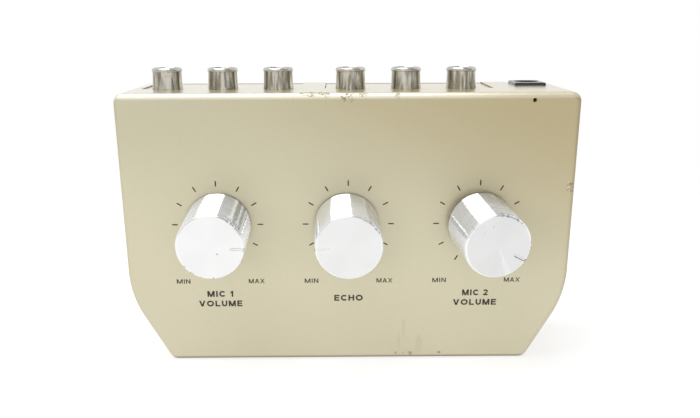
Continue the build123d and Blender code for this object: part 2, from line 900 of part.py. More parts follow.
# ---- Power lamp behind its pin hole, on two leads from the main board ----
lamp_z = case_height - wall - free_gap - lamp_radius
skin_depth = panel_skin / cos(lean)  # through the panel, measured level
lamp_front = (case_height - lamp_z + lamp_radius) * tan(lean) + skin_depth + free_gap
lamp_rear = lamp_front + lamp_length
with BuildPart() as power_lamp:
    with BuildSketch(across(lamp_rear)):
        with Locations((lamp_x, lamp_z)):
            Circle(lamp_radius)
    extrude(amount=lamp_length)
    fillet(power_lamp.faces().sort_by(Axis.Y)[0].edges(), lamp_dome)
    for lead_x in (lamp_x - lead, lamp_x + lead / 2):
        lead_plane = Plane.YZ.offset(lead_x)
        with BuildSketch(lead_plane):
            with BuildLine():
                Polyline(
                    (y_at(lamp_rear) - lead, lamp_z + lead / 2),
                    (y_at(lamp_rear) - lead, lamp_z - lead / 2),
                    (y_at(board_front), lamp_z - lead_fall - lead / 2),
                    (y_at(board_front), lamp_z - lead_fall + lead / 2),
                    close=True,
                )
            make_face()
        extrude(amount=lead / 2)
power_lamp.part.label = "power_lamp"
export_step(power_lamp.part, "parts/power_lamp.step")
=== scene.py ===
from math import cos, pi, radians, sin

import bmesh
import bpy
import numpy as np
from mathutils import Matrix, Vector


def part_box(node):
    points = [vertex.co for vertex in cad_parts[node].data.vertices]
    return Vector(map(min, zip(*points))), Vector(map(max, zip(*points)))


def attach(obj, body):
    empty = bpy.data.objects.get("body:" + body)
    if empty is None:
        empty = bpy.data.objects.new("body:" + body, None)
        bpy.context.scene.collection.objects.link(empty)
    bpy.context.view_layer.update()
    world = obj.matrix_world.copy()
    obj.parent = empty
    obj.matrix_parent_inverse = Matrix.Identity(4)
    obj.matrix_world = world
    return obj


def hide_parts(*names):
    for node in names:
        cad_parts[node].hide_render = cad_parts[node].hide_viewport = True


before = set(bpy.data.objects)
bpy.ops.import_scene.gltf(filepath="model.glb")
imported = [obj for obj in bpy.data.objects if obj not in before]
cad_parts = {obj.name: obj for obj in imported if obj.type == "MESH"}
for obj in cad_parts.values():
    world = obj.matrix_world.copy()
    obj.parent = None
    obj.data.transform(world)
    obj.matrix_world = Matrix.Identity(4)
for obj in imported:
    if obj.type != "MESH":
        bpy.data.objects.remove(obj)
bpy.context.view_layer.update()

# ---- Camera ----
# A normal lens a quarter of a metre in front of the mixer and a little above it, so that both
# the control panel and the tops of the sockets show.
camera_place = (-0.00171, -0.24154, 0.09521)
camera_turn = (77.768, 0.179, -0.578)
camera_data = bpy.data.cameras.new("camera")
camera_data.lens = 44.88
camera_data.clip_start = 0.01
camera = bpy.data.objects.new("camera", camera_data)
camera.location = camera_place
camera.rotation_euler = [radians(angle) for angle in camera_turn]
bpy.context.scene.collection.objects.link(camera)
bpy.context.scene.camera = camera
bpy.context.scene.view_settings.view_transform = "Standard"


# ---- Helpers: shader nodes, finishes and meshes ----
# Most finishes are built from noise and gradients over the piece's own axes, in metres. Meshes
# are grids of points, and those of solid pieces are closed up afterwards.
def wire(tree, kind, inputs=(), **fields):
    """One shader node: its fields are set first, then each input is linked or given its value."""
    made = tree.nodes.new("ShaderNode" + kind)
    for field, value in fields.items():
        setattr(made, field, value)
    for socket, value in dict(inputs).items():
        if isinstance(value, bpy.types.NodeSocket):
            tree.links.new(value, made.inputs[socket])
        else:
            made.inputs[socket].default_value = value
    return made


def own_place(tree):
    """Places on the piece, along its own axes."""
    return wire(tree, "TexCoord").outputs["Object"]


def tinted(tree, factor, first, second, way="MIX"):
    """Two colours mixed by a factor."""
    inputs = {0: factor, 6: first, 7: second}
    return wire(tree, "Mix", inputs, data_type="RGBA", blend_type=way).outputs[2]


def grain(tree, place, scale, detail=2.0, stretch=(1, 1, 1)):
    """Noise of a given number of grains per metre, stretched along the axes."""
    if stretch != (1, 1, 1):
        place = wire(tree, "Mapping", {"Vector": place, "Scale": stretch}).outputs[0]
    inputs = {"Vector": place, "Scale": scale, "Detail": detail}
    return wire(tree, "TexNoise", inputs).outputs[0]


def span(tree, value, low, high, to_low=0.0, to_high=1.0, kind="SMOOTHSTEP"):
    """A value brought from one range to another and held there, smoothly or in proportion."""
    inputs = {
        "Value": value,
        "From Min": low,
        "From Max": high,
        "To Min": to_low,
        "To Max": to_high,
    }
    return wire(tree, "MapRange", inputs, interpolation_type=kind).outputs[0]


def reckon(tree, operation, *values):
    """The result of one arithmetic operation."""
    return wire(tree, "Math", dict(enumerate(values)), operation=operation).outputs[0]


def times(tree, first, *others):
    """Several values multiplied."""
    for other in others:
        first = reckon(tree, "MULTIPLY", first, other)
    return first


def larger(tree, first, *others):
    """The largest of several values."""
    for other in others:
        first = reckon(tree, "MAXIMUM", first, other)
    return first


def scaled(tree, vector, factor):
    """A vector or colour times a factor."""
    return wire(tree, "VectorMath", {0: vector, "Scale": factor}, operation="SCALE").outputs[0]


def patches(tree, place, *spots):
    """The largest of several spots. Each is 1 at its middle and falls to 0 at its reach along
    each axis, and both are given in millimetres."""
    made = []
    for middle, reach in spots:
        scale = [1000 / r for r in reach]
        shift = [-m / r for m, r in zip(middle, reach)]
        moved = wire(tree, "Mapping", {"Vector": place, "Location": shift, "Scale": scale})
        spot = wire(tree, "TexGradient", {0: moved.outputs[0]}, gradient_type="SPHERICAL")
        made.append(spot.outputs[1])
    return larger(tree, *made)


def bumped(tree, shader, height, depth, strength=1.0):
    """Gives a shader the relief of a height, in metres of depth."""
    inputs = {"Height": height, "Distance": depth, "Strength": strength}
    normal = wire(tree, "Bump", inputs).outputs[0]
    tree.links.new(normal, shader.inputs["Normal"])


def finish(name, color, roughness, metallic=0.0):
    """A material with one Principled shader, given its plain colour, roughness and metalness."""
    made = bpy.data.materials.new(name)
    made.use_nodes = True
    shader = made.node_tree.nodes["Principled BSDF"]
    shader.inputs["Base Color"].default_value = color
    shader.inputs["Roughness"].default_value = roughness
    shader.inputs["Metallic"].default_value = metallic
    return made, made.node_tree, shader


def mottled(name, tones, noise, roughness, metallic=0.0, limits=None, sheen=None, relief=None):
    """A finish clouded between two tones by noise. limits sharpen the clouds, sheen is the range
    of roughness that they give, and relief is the depth of the bumps. The bumps follow the
    clouds, or a noise of their own if relief goes on with that noise's scale and detail."""
    dark, light = [(*tone, 1) for tone in tones]
    made, tree, shader = finish(name, light, roughness, metallic)
    place = own_place(tree)
    clouds = grain(tree, place, *noise)
    if limits:
        clouds = span(tree, clouds, *limits)
    tree.links.new(tinted(tree, clouds, dark, light), shader.inputs["Base Color"])
    if sheen:
        tree.links.new(span(tree, clouds, 0.2, 0.8, *sheen), shader.inputs["Roughness"])
    if relief:
        depth, *own_noise = relief
        bumped(tree, shader, grain(tree, place, *own_noise) if own_noise else clouds, depth)
    return made


def dress(material, *nodes):
    """Gives CAD nodes a material in every slot that they have."""
    for name in nodes:
        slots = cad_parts[name].data.materials
        if not slots:
            slots.append(material)
        for number in range(len(slots)):
            slots[number] = material


def laid_surface(name, points, around=False, measure=None):
    """A sheet of four-sided faces over a (rows, columns, 3) array of points.
    With around, the last column is joined to the first. measure gives each row's distance along
    the profile and each column's turn, which become the sheet's UV map."""
    rows, columns = points.shape[:2]
    index = np.arange(rows * columns).reshape(rows, columns)
    if around:
        index = np.concatenate([index, index[:, :1]], axis=1)
    corners = np.stack([index[:-1, :-1], index[:-1, 1:], index[1:, 1:], index[1:, :-1]], axis=-1)
    mesh = bpy.data.meshes.new(name)
    mesh.from_pydata(points.reshape(-1, 3), [], corners.reshape(-1, 4).tolist())
    if measure is not None:
        lengths, turns = np.meshgrid(*measure, indexing="ij")
        spots = np.stack([lengths, turns], axis=-1)
        loops = np.stack([spots[:-1, :-1], spots[:-1, 1:], spots[1:, 1:], spots[1:, :-1]], axis=2)
        mesh.uv_layers.new(name="UVMap").data.foreach_set("uv", loops.ravel())
    mesh.update()
    piece = bpy.data.objects.new(name, mesh)
    bpy.context.scene.collection.objects.link(piece)
    return piece


def sealed(piece, smooth=True):
    """Joins points that coincide, drops faces without area and turns all faces outwards."""
    shape = bmesh.new()
    shape.from_mesh(piece.data)
    bmesh.ops.remove_doubles(shape, verts=shape.verts, dist=1e-7)
    bmesh.ops.dissolve_degenerate(shape, edges=shape.edges, dist=1e-8)
    bmesh.ops.recalc_face_normals(shape, faces=shape.faces)
    for face in shape.faces:
        face.smooth = smooth
    shape.to_mesh(piece.data)
    shape.free()
    return piece


def joined(name, pieces):
    """Several pieces made into one."""
    with bpy.context.temp_override(
        active_object=pieces[0], selected_editable_objects=pieces, selected_objects=pieces
    ):
        bpy.ops.object.join()
    pieces[0].name = name
    pieces[0].data.name = name
    return pieces[0]


def circle(count):
    """Evenly spaced turns around a full circle."""
    return np.linspace(0, 2 * pi, count, endpoint=False)


def swept(profile, count):
    """The radii and the heights of a profile's points, repeated for a number of turns."""
    profile = np.array(profile)
    return [np.repeat(profile[:, [part]], count, axis=1) for part in (0, 1)]


def turned_piece(name, foot, across, up, out, radius, height, turns):
    """A turned piece: a point lies at the foot, plus the height along the outward axis, plus the
    radius times the cosine of the turn across and its sine up."""
    across, up, out, foot = (np.array(v) for v in (across, up, out, foot))
    spokes = np.cos(turns)[:, None] * across + np.sin(turns)[:, None] * up
    points = foot + radius[..., None] * spokes + height[..., None] * out
    mean_radius, mean_height = radius.mean(axis=1), height.mean(axis=1)
    steps = np.hypot(np.diff(mean_radius), np.diff(mean_height))
    lengths = np.concatenate([[0.0], np.cumsum(steps)]) * 10
    shares = np.append(np.linspace(0, 1, len(turns), endpoint=False), 1.0)
    return laid_surface(name, points, around=True, measure=(lengths, shares))


# ---- Table and lamps: white board under the mixer, softboxes around it ----
# The board is matt white card. Near the mixer it takes the shadow, beyond the far reach it is
# plain white. One large softbox hangs overhead and a wide, weaker one stands in front.
near_reach, far_reach = 0.12, 0.32
board_grey = (0.42, 0.42, 0.42, 1)
glow_on_things, glow_in_view = 0.58, 0.72
white = (1, 1, 1, 1)


def seen_rays(tree):
    """1 for rays from the camera and for mirror and glass rays, 0 for the light that falls on things."""
    path = wire(tree, "LightPath").outputs
    return larger(tree, path["Is Camera Ray"], path["Is Glossy Ray"], path["Is Transmission Ray"])


board_reach = 3.0
board_corners = np.linspace(-board_reach, board_reach, 13)
board_x, board_y = np.meshgrid(board_corners, board_corners, indexing="xy")
table_board = laid_surface(
    "table_board", np.stack([board_x, board_y, np.zeros_like(board_x)], axis=-1)
)
board_card = bpy.data.materials.new("board_card")
board_card.use_nodes = True
tree = board_card.node_tree
tree.nodes.remove(tree.nodes["Principled BSDF"])
distance = wire(tree, "VectorMath", {0: own_place(tree)}, operation="LENGTH").outputs["Value"]
outward = span(tree, distance, near_reach, far_reach, kind="LINEAR")
matt = wire(tree, "BsdfDiffuse", {"Color": board_grey}).outputs[0]
camera_ray = wire(tree, "LightPath").outputs["Is Camera Ray"]
lift = span(tree, camera_ray, 0.0, 1.0, glow_on_things, glow_in_view, "LINEAR")
glow = wire(tree, "Emission", {"Color": white, "Strength": lift}).outputs[0]
near = wire(tree, "AddShader", {0: matt, 1: glow}).outputs[0]
plain = wire(tree, "Emission", {"Color": white, "Strength": seen_rays(tree)}).outputs[0]
far = wire(tree, "MixShader", {0: seen_rays(tree), 1: matt, 2: plain}).outputs[0]
board_mix = wire(tree, "MixShader", {0: outward, 1: near, 2: far}).outputs[0]
tree.links.new(board_mix, tree.nodes["Material Output"].inputs["Surface"])
table_board.data.materials.append(board_card)

room = bpy.data.worlds.new("room")
bpy.context.scene.world = room
room.use_nodes = True
tree = room.node_tree
ambient = 0.32
level = span(tree, seen_rays(tree), 0.0, 1.0, ambient, 1.0, "LINEAR")
tree.links.new(level, tree.nodes["Background"].inputs["Strength"])
tree.nodes["Background"].inputs["Color"].default_value = white


def softbox(name, place, aim, width, depth, watts, mirrored=True):
    """A rectangular lamp at a place, turned so that it shines at a point. Shiny parts show it
    only if it is mirrored."""
    lamp_data = bpy.data.lights.new(name, "AREA")
    lamp_data.shape = "RECTANGLE"
    lamp_data.size, lamp_data.size_y = width, depth
    lamp_data.energy = watts
    lamp = bpy.data.objects.new(name, lamp_data)
    lamp.location = place
    lamp.rotation_euler = (Vector(aim) - Vector(place)).to_track_quat("-Z", "Y").to_euler()
    lamp.visible_camera = False
    lamp.visible_glossy = mirrored
    bpy.context.scene.collection.objects.link(lamp)


softbox("overhead_softbox", (-0.387, -0.14, 1.593), (0, -0.03, 0.04), 1.293, 1.33, 20.5)
softbox("front_softbox", (-0.12, -0.6, 0.12), (0, 0, 0.03), 1.1, 0.3, 2.0, False)

arch_middle = 0.045
arch_reach = 1.1
arch_depths = (-1.6, -0.05)


def arch_card(name, low, high, grey):
    """A grey card bent to an arch over the front of the mixer, between two angles up from the
    right. Only shiny parts see it: it puts the darker bands into their reflections."""
    turns, depths = np.meshgrid(np.radians(np.linspace(low, high, 9)), arch_depths, indexing="ij")
    points = (arch_reach * np.cos(turns), depths, arch_middle + arch_reach * np.sin(turns))
    board = laid_surface(name, np.stack(points, axis=-1))
    paper = bpy.data.materials.new(name)
    paper.use_nodes = True
    paper.node_tree.nodes.remove(paper.node_tree.nodes["Principled BSDF"])
    glow = wire(paper.node_tree, "Emission", {"Color": (grey, grey, grey * 0.97, 1)}).outputs[0]
    paper.node_tree.links.new(glow, paper.node_tree.nodes["Material Output"].inputs["Surface"])
    board.data.materials.append(paper)
    for kind in ("camera", "diffuse", "shadow", "transmission", "volume_scatter"):
        setattr(board, f"visible_{kind}", False)


arch_card("left_card", 127, 183, 0.72)
arch_card("right_card", 50, 81, 0.46)
arch_card("right_strip_card", 42, 50, 0.85)
arch_card("dark_right_card", 28, 42, 0.2)
arch_card("low_right_card", 13, 24, 0.22)
arch_card("side_card", 0.5, 9, 0.42)
arch_card("low_left_card", 183, 215, 0.6)

# ---- Case: two plastic mouldings in satin champagne paint ----
# The front shell and the back cover are moulded in cream ABS and sprayed with a fine metal-flake
# paint. Painted shade darkens and warms the paint towards the top, most of all at the right corner.
# The upper front edge carries a painted highlight and chips; near the lower edge the paint is dirty,
# with a painted contact shadow along the foot.
champagne = (0.64, 0.592, 0.415, 1)
shade_tint = (0.84, 0.76, 0.61, 1)
bare_plastic = (0.75, 0.7, 0.56, 1)
dirt_and_shade_brown = (0.16, 0.125, 0.06, 1)
case_top = 0.0767

case_paint, tree, shader = finish("case_paint", champagne, 0.42, 0.3)
shader.inputs["Coat Roughness"].default_value = 0.19
place = own_place(tree)
flakes = grain(tree, place, 5200, 1.0)
clouds = grain(tree, place, 28, 3.0)
orange_peel = grain(tree, place, 1500, 2.0)
flake_tone = span(tree, flakes, 0.0, 1.0, 0.9, 1.08, "LINEAR")
cloud_tone = span(tree, clouds, 0.0, 1.0, 0.95, 1.05, "LINEAR")
paint_color = scaled(tree, champagne[:3], times(tree, flake_tone, cloud_tone))
apart = wire(tree, "SeparateXYZ", {0: place}).outputs
# Painted shade: darker and warmer towards the top right corner, darker towards the top; a painted
# highlight along the upper front edge
shade_slope = reckon(tree, "MULTIPLY_ADD", apart["X"], 0.5, apart["Z"])
paint_color = tinted(tree, span(tree, shade_slope, 0.045, 0.1), paint_color, shade_tint, "MULTIPLY")
# Painted shade: the paint darker towards the top
top_shade = span(tree, apart["Z"], 0.044, 0.074)
paint_color = tinted(tree, top_shade, paint_color, (0.9, 0.9, 0.87, 1), "MULTIPLY")
# Painted highlight along the rounded upper front edge, where it catches the overhead light
edge_highlight = times(
    tree,
    span(tree, apart["Z"], case_top - 0.0018, case_top - 0.001),
    span(tree, apart["Y"], -0.0136, -0.0125, 1.0, 0.0),
    span(tree, apart["X"], 0.015, 0.055, 0.7, 0.35),
)
paint_color = tinted(tree, edge_highlight, paint_color, (0.88, 0.85, 0.74, 1))
# Chips and the brown rings round them, along the upper front edge and beside the right one
chipped = patches(
    tree,
    place,
    ((-10.2, -13.2, 76.6), (2.8, 2.5, 1.3)),
    ((-7.1, -13.2, 76.6), (1.5, 2.5, 0.9)),
    ((-5.5, -13.2, 76.4), (1.0, 2.5, 1.3)),
    ((0.0, -14.2, 75.6), (2.2, 3.5, 1.8)),
    ((3.8, -14.2, 76.3), (1.6, 3.5, 0.7)),
    ((13.0, -14.2, 76.0), (1.0, 3.5, 0.9)),
    ((60.0, -12.2, 50.9), (1.6, 3.0, 1.7)),
)
ragged = grain(tree, place, 1250, 2.0)
rings = reckon(tree, "ABSOLUTE", reckon(tree, "SUBTRACT", ragged, 0.5))
ring_marks = times(tree, span(tree, rings, 0.01, 0.07, 1.0, 0.0), span(tree, chipped, 0.05, 0.3))
flaked = times(tree, span(tree, ragged, 0.56, 0.6), span(tree, chipped, 0.25, 0.5))
# Dirt and painted shade: smears above the lower edge and specks on it are dirt; a painted contact
# shadow runs where the case stands, and painted shade lies in the sunk windows of the top wall
smears = patches(
    tree,
    place,
    ((15.6, -6.0, 9.8), (0.7, 9.0, 3.4)),
    ((14.3, -6.0, 6.0), (0.7, 9.0, 3.4)),
    ((20.0, -6.0, 4.6), (1.3, 9.0, 4.0)),
)
edge_specks = patches(
    tree,
    place,
    ((14.0, -6.0, 1.6), (1.3, 9.0, 1.3)),
    ((16.2, -6.0, 1.9), (1.7, 9.0, 1.0)),
    ((17.7, -6.0, 1.5), (1.0, 9.0, 1.1)),
    ((25.9, -6.0, 1.8), (0.8, 9.0, 0.6)),
    ((-53.9, -12.0, 62.6), (0.5, 3.0, 0.5)),
)
smear_amount = times(tree, span(tree, smears, 0.0, 0.6), span(tree, ragged, 0.2, 0.8, 0.04, 0.16))
speck_amount = times(tree, span(tree, edge_specks, 0.15, 0.6), span(tree, ragged, 0.45, 0.6, 0.0, 0.6))
low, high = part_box("back_cover")
# Painted shade in the sunk windows of the top wall, along the step at their back, broken up by noise
in_window = times(
    tree,
    span(tree, apart["Y"], high.y - 0.006, high.y - 0.0022),
    span(tree, apart["Z"], high.z - 0.0008, high.z - 0.0004),
    span(tree, apart["Z"], high.z + 0.0001, high.z + 0.0002, 1.0, 0.0),
)
window_shade = times(tree, in_window, span(tree, ragged, 0.25, 0.65, 0.5, 0.7))
# Painted contact shadow: a dark line along the foot, where the case stands on the table
contact_shadow = span(tree, apart["Z"], 0.00035, 0.0013, 0.85, 0.0)
# Dirt, with the painted contact shadow and the painted shade of the windows
dirt_and_painted_shade = larger(tree, smear_amount, speck_amount, window_shade, contact_shadow)
paint_with_marks_and_shade = tinted(tree, flaked, paint_color, bare_plastic)
paint_with_marks_and_shade = tinted(tree, times(tree, ring_marks, 0.85), paint_with_marks_and_shade, dirt_and_shade_brown)
paint_with_marks_and_shade = tinted(tree, dirt_and_painted_shade, paint_with_marks_and_shade, dirt_and_shade_brown)
tree.links.new(paint_with_marks_and_shade, shader.inputs["Base Color"])
# The spray fell thin on the side walls, which are duller than the panel
facing = wire(tree, "SeparateXYZ", {0: wire(tree, "NewGeometry").outputs["Normal"]}).outputs["X"]
sideways = span(tree, reckon(tree, "ABSOLUTE", facing), 0.3, 0.85)
# Chips, dirt, painted shade, the brown rings and the side walls are less glossy
dull_marks_and_shade = larger(tree, flaked, dirt_and_painted_shade, ring_marks, sideways)
tree.links.new(span(tree, dull_marks_and_shade, 0.0, 1.0, 0.3, 0.0), shader.inputs["Metallic"])
tree.links.new(span(tree, dull_marks_and_shade, 0.0, 0.6, 1.0, 0.0), shader.inputs["Coat Weight"])
tree.links.new(span(tree, dull_marks_and_shade, 0.0, 0.6, 0.5, 0.1), shader.inputs["Specular IOR Level"])
tree.links.new(span(tree, clouds, 0.2, 0.8, 0.38, 0.46), shader.inputs["Roughness"])
# A chip is two and a half times as deep as the orange peel of the paint is high
relief = reckon(tree, "MULTIPLY_ADD", flaked, -2.5, orange_peel)
bumped(tree, shader, relief, 0.00002, 0.6)
dress(case_paint, "front_shell", "back_cover")

# ---- Printing on the panel: dials, end marks and control names ----
# One colour of screen ink, dark brown-black, a few hundredths of a millimetre thick. Each dial
# has eleven strokes 30 degrees apart; the words are the functions of the controls.
lean = radians(6.87)
panel_origin = Vector((0, -0.010112, 0.0409))
panel_across = Vector((1, 0, 0))
panel_up = Vector((0, -sin(lean), cos(lean)))
panel_out = Vector((0, -cos(lean), -sin(lean)))
dial_spacing = 0.03556
control_middles = (-dial_spacing, 0.0, dial_spacing)
strokes_per_dial, first_stroke, stroke_step = 11, 240, 30
stroke_inner, stroke_outer = 0.0108, 0.01243
stroke_width = 0.00036
ink_height = 0.00003
ink_base = 0.000004
mark_height, mark_weight = 0.0013, 0.19
name_height, name_weight = 0.00178, 0.25
mark_line, upper_line, echo_line, lower_line = -0.0168, -0.02065, -0.02207, -0.0236
letter_gap = 0.23
ink = mottled(
    "ink",
    ((0.016, 0.012, 0.007), (0.06, 0.047, 0.025)),
    (2600, 2.0),
    0.5,
    limits=(0.3, 0.75),
    relief=(0.000006,),
)


def on_panel(across, up, out):
    """Points of the panel: so far across, up and out from the foot of the middle control."""
    across, up, out = np.broadcast_arrays(across, up, out)
    return (
        np.array(panel_origin)
        + across[..., None] * np.array(panel_across)
        + up[..., None] * np.array(panel_up)
        + out[..., None] * np.array(panel_out)
    )


def printed_strokes(middle):
    """The strokes of one dial. A stroke is a pill: it narrows and thins out towards its ends by
    the eighth power of the place along it, and thins out across it by the fourth. Its upper and
    lower sheets meet along the outline."""
    strokes = []
    along = np.linspace(-1, 1, 9)[:, None]
    across = np.linspace(-1, 1, 7)[None, :]
    for step in range(strokes_per_dial):
        angle = radians(first_stroke - stroke_step * step)
        radius = (stroke_inner + stroke_outer) / 2 + along * (stroke_outer - stroke_inner) / 2
        half = stroke_width / 2 * np.sqrt(1 - 0.8 * along**8)
        side = across * half
        x = middle + radius * cos(angle) - side * sin(angle)
        y = radius * sin(angle) + side * cos(angle)
        crown = ink_height * (1 - across**4) * (1 - along**8)
        for height in (ink_base + crown, ink_base - crown * 0.5):
            strokes.append(laid_surface("stroke", on_panel(x, y, height)))
    return strokes


dials = []
for middle in control_middles:
    dials += printed_strokes(middle)
dial_marks = sealed(joined("dial_marks", dials))
dial_marks.data.materials.append(ink)
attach(dial_marks, "case")


def straight(start, end, breadth):
    """A straight stroke of a letter: its centre line and how far it reaches across."""
    return np.array([start, end], float), np.array([breadth, breadth], float)


def bow(middle, reach, start, end, weight):
    """A bent stroke along an ellipse, from one turn to another in degrees."""
    turns = np.radians(np.linspace(start, end, max(9, int(abs(end - start) / 10))))
    around = np.stack([np.cos(turns), np.sin(turns)], axis=1)
    return np.array(middle) + np.array(reach) * around, around * weight


def letter(sign, w):
    """Width and strokes of a sans-serif letter one unit high, with strokes of weight w."""

    def upright(x, foot=0.0):
        return straight((x, foot), (x, 1), (w, 0))

    def slant(head, foot):
        return straight((head, 1), (foot, 0), (1.1 * w, 0))

    def level(y, start, end):
        return straight((start, y), (end, y), (0, 0.86 * w))

    low, high, side = 0.43 * w, 1 - 0.43 * w, w / 2
    if sign == "M":
        sides = [upright(side), upright(1.14 - side)]
        return 1.14, sides + [slant(side + 0.03, 0.57), slant(1.11 - side, 0.57)]
    if sign == "I":
        return w, [upright(side)]
    if sign == "N":
        return 0.88, [upright(side), upright(0.88 - side), slant(side, 0.88 - side)]
    if sign == "A":
        return 1.0, [slant(0.5, side), slant(0.5, 1 - side), level(0.3, 0.25, 0.75)]
    if sign == "X":
        return 0.96, [slant(side, 0.96 - side), slant(0.96 - side, side)]
    if sign == "V":
        return 1.0, [slant(side, 0.5), slant(1 - side, 0.5)]
    if sign == "H":
        return 0.92, [upright(side), upright(0.92 - side), level(0.52, side, 0.92 - side)]
    if sign == "L":
        return 0.8, [upright(side), level(low, side, 0.8)]
    if sign == "E":
        arms = [level(low, side, 0.82), level(0.52, side, 0.76), level(high, side, 0.82)]
        return 0.82, [upright(side)] + arms
    if sign == "U":
        basin = bow((0.44, 0.42), (0.44 - side, 0.42 - side), 180, 360, w)
        return 0.88, [upright(side, 0.42), upright(0.88 - side, 0.42), basin]
    if sign == "O":
        return 1.14, [bow((0.57, 0.5), (0.57 - side, 0.5 - side), 0, 360, w)]
    if sign == "C":
        return 0.98, [bow((0.53, 0.5), (0.53 - side, 0.5 - side), 42, 318, w)]
    if sign == "1":
        return 0.46, [upright(0.46 - side), straight((0.4, 0.88), (0.04, 0.7), (0, 0.9 * w))]
    if sign == "2":
        crown = bow((0.4, 0.71), (0.4 - side, 0.29 - side), 165, -30, w)
        return 0.8, [crown, straight((0.62, 0.58), (0.2, 0.1), (1.15 * w, 0)), level(low, 0.02, 0.8)]
    return 0.3, []  # a space


def lettering(words, middle, height, width, weight):
    """Words as closed slabs of ink, centred on a place of the panel and stretched to a width."""
    strokes, reach = [], 0.0
    for sign in words:
        advance, parts = letter(sign, weight)
        strokes += [(line + (reach, 0.0), across) for line, across in parts]
        reach += advance + letter_gap
    reach -= letter_gap
    slabs = []
    for line, across in strokes:
        line = np.concatenate([line[:1], line, line[-1:]])
        across = np.concatenate([across[:1], across, across[-1:]])[:, None, :]
        sides = np.array([-0.5, -0.5, 0.5, 0.5])[None, :, None]
        flat = (line[:, None, :] + across * sides) * (width / reach, height) + middle
        flat = flat - (width / 2, height / 2)
        lift = np.tile([0.0, ink_height, ink_height, 0.0], (len(line), 1))
        lift[[0, -1]] = 0.0
        slab = laid_surface("stroke", on_panel(flat[..., 0], flat[..., 1], lift + ink_base), True)
        slabs.append(sealed(slab, smooth=False))
    return slabs


words = []
for middle in control_middles:
    words += lettering("MIN", (middle - 0.0103, mark_line), mark_height, 0.0038, mark_weight)
    words += lettering("MAX", (middle + 0.01, mark_line), mark_height, 0.0044, mark_weight)
for middle, source in ((-dial_spacing - 0.0003, "MIC 1"), (dial_spacing - 0.0001, "MIC 2")):
    words += lettering(source, (middle, upper_line), name_height, 0.0072, name_weight)
    words += lettering("VOLUME", (middle, lower_line), name_height, 0.0121, name_weight)
words += lettering("ECHO", (0.0, echo_line), name_height, 0.008, name_weight)
control_names = joined("control_names", words)
control_names.data.materials.append(ink)
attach(control_names, "case")

# ---- Feet and case screws ----
# Four round feet of black rubber are glued to the back; four cross-head screws of zinc-plated
# steel go through the cover into the bosses of the front shell.
rubber = mottled(
    "foot_rubber",
    ((0.018, 0.018, 0.019), (0.07, 0.067, 0.062)),
    (700, 4.0),
    0.8,
    limits=(0.45, 0.7),
    relief=(0.00003, 3000, 2.0),
)
dress(rubber, "rubber_feet")

zinc = mottled(
    "zinc_plate",
    ((0.5, 0.51, 0.52), (0.72, 0.72, 0.72)),
    (900, 3.0),
    0.32,
    1.0,
    sheen=(0.25, 0.45),
)
dress(zinc, "case_screws", "board_screws")

# ---- Boards and circuits inside the case ----
# Two fibreglass boards with green solder mask, joined by a grey ribbon cable. The circuits are
# black epoxy chips, a three-legged regulator and five can capacitors in blue sleeves.
solder_mask, tree, shader = finish("solder_mask", (0.02, 0.13, 0.05, 1), 0.35)
place = own_place(tree)
flat_place = wire(tree, "Mapping", {"Vector": place, "Rotation": (pi / 2, 0, 0)}).outputs[0]
tracks = wire(
    tree, "TexBrick", {"Vector": flat_place, "Scale": 260.0, "Mortar Size": 0.03}, offset=0.37
).outputs["Fac"]
weave = grain(tree, place, 1600, 2.0)
mask_color = tinted(tree, weave, (0.012, 0.1, 0.035, 1), (0.025, 0.15, 0.06, 1))
tree.links.new(
    tinted(tree, tracks, mask_color, (0.05, 0.24, 0.1, 1)), shader.inputs["Base Color"]
)
bumped(tree, shader, tracks, 0.00002)
dress(solder_mask, "main_board", "control_board")

ribbon, tree, shader = finish("ribbon_cable", (0.45, 0.45, 0.44, 1), 0.5)
place = own_place(tree)
cores = wire(
    tree, "TexWave", {"Vector": place, "Scale": 250.0, "Distortion": 0.0}, bands_direction="X"
).outputs["Fac"]
tree.links.new(
    tinted(tree, cores, (0.3, 0.3, 0.3, 1), (0.52, 0.52, 0.5, 1)), shader.inputs["Base Color"]
)
bumped(tree, shader, cores, 0.0002)
dress(ribbon, "board_cable")

epoxy = mottled(
    "chip_epoxy",
    ((0.014, 0.014, 0.015), (0.03, 0.03, 0.032)),
    (2400, 2.0),
    0.45,
    relief=(0.00002, 6000, 2.0),
)
dress(epoxy, "echo_chip", "preamp_chip", "voltage_regulator")

can_sleeve = mottled(
    "can_sleeve",
    ((0.014, 0.045, 0.18), (0.03, 0.08, 0.27)),
    (500, 3.0, (1, 4, 1)),
    0.3,
    relief=(0.00004,),
)
dress(can_sleeve, "capacitors")

# ---- Rotary controls behind the panel ----
# Three potentiometers with die-cast bodies and bushes. A washer and a nut hold each one in its
# hole, and its steel shaft has a flat for the knob.
knob_numbers = (1, 2, 3)
cast = mottled(
    "control_casting",
    ((0.36, 0.36, 0.35), (0.58, 0.58, 0.57)),
    (2200, 3.0),
    0.5,
    1.0,
    relief=(0.00003,),
)
dress(cast, *[f"pot_body_{n}" for n in knob_numbers])

bright_steel = mottled(
    "bright_steel",
    ((0.5, 0.5, 0.5), (0.68, 0.68, 0.67)),
    (1200, 2.0, (1, 6, 1)),
    0.28,
    1.0,
    relief=(0.00001,),
)
dress(bright_steel, *[f"pot_{part}_{n}" for part in ("nut", "washer", "shaft") for n in knob_numbers])

hub_plastic = mottled(
    "hub_plastic",
    ((0.02, 0.02, 0.02), (0.045, 0.045, 0.045)),
    (1500, 2.0),
    0.55,
    relief=(0.00002, 3800, 1.0),
)
dress(hub_plastic, *[f"knob_core_{n}" for n in knob_numbers])

